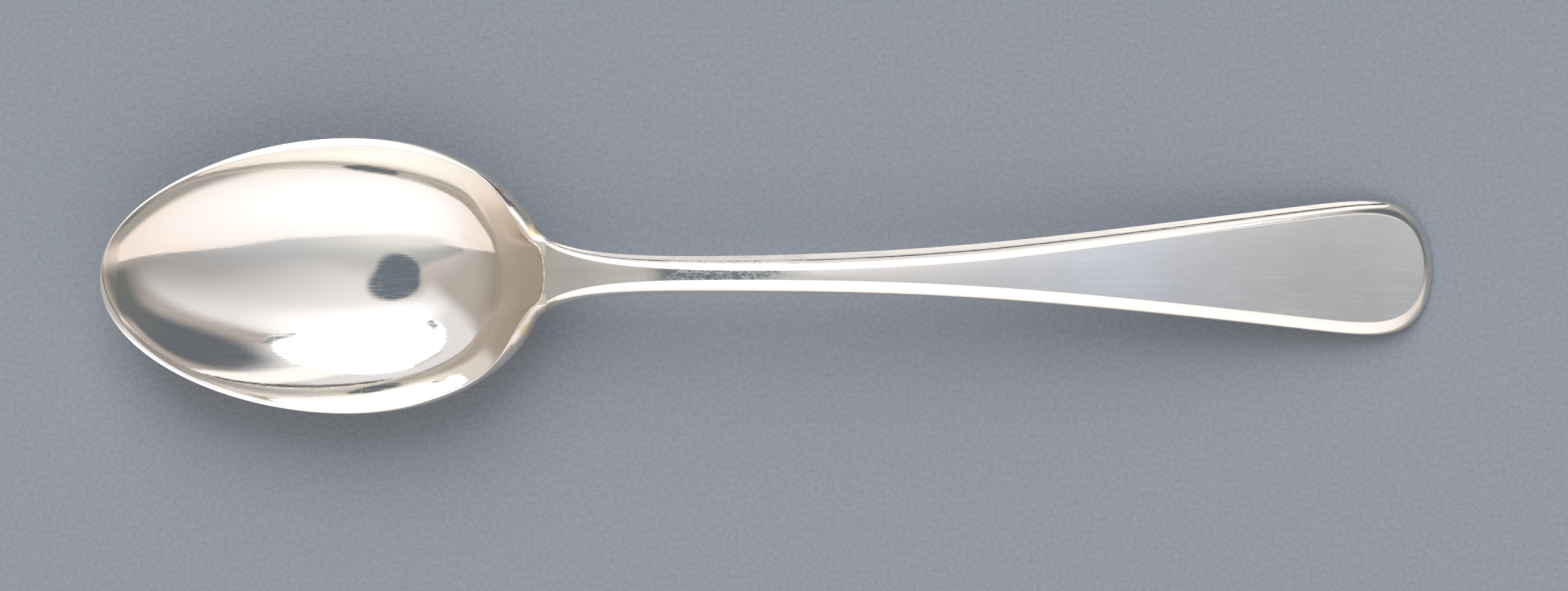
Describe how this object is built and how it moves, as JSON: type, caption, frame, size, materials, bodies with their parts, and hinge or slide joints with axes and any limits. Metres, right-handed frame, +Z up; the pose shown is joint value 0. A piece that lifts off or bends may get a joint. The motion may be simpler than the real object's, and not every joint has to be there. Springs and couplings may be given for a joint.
{
  "type": "tablespoon",
  "caption": "Silver tablespoon with an egg-shaped bowl, a slim arched stem with bevelled edges that broadens to a plain rounded end, and a drop soldered under the neck.",
  "frame": {"origin": "on the table, under the middle of the spoon's length and width", "axes": "+X from the bowl's tip to the stem's end, +Z up out of the bowl"},
  "size_m": [0.21, 0.0436, 0.0154],
  "materials": {
    "silver_bowl": "polished silver, finely scratched by use",
    "silver_stem": "polished silver, finely scratched along its length",
    "silver_drop": "polished silver, dull at its border",
    "hard_solder": "filed silver solder, slightly yellow"
  },
  "bodies": {
    "root": {"bowl": "silver_bowl", "stem": "silver_stem", "heel_drop": "silver_drop", "solder_seam": "hard_solder"}
  },
  "joints": []
}
